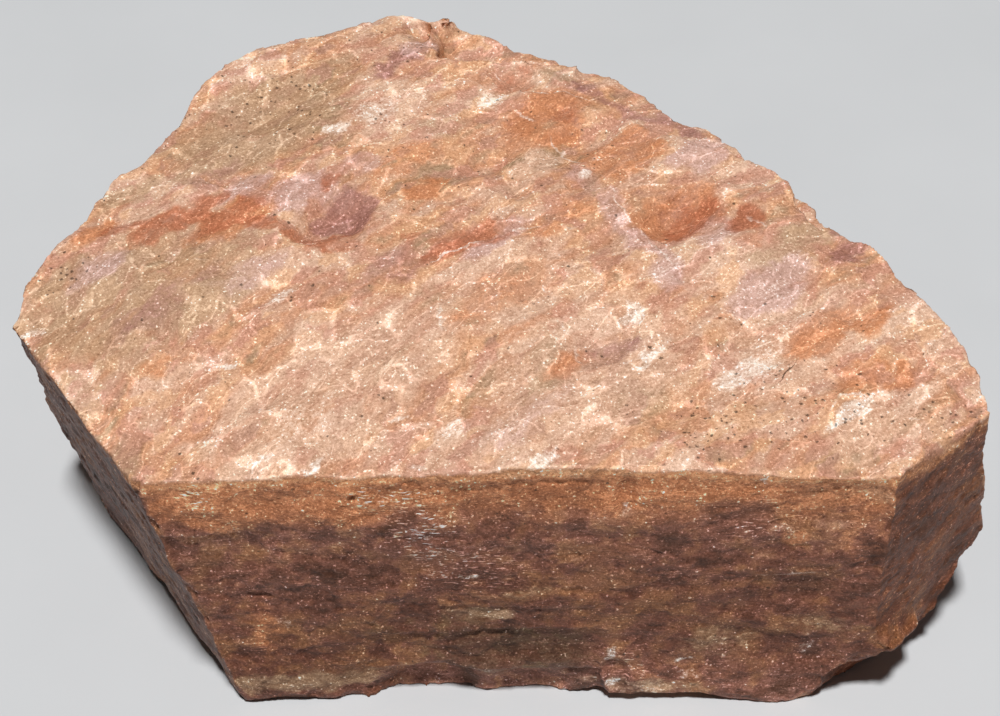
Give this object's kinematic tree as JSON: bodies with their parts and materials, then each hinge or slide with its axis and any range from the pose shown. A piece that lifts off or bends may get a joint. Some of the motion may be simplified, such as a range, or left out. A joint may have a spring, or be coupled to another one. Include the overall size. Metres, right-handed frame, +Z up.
{
  "type": "potassium feldspar crystal",
  "caption": "Broken block of salmon potassium feldspar with flat side faces, a broad ridged cleavage face on top and hackly stepped fracture at the back.",
  "frame": {"origin": "centre of the outer box in plan, on the surface that the crystal rests on", "axes": "+Z up, out of the broad upper cleavage face; +X along the crystal's length; -Y out of the flat front crystal face"},
  "size_m": [0.1003, 0.077, 0.0378],
  "materials": {
    "feldspar": "dull to glassy, salmon with pale lamellae"
  },
  "bodies": {
    "root": {"crystal": "feldspar"}
  },
  "joints": []
}
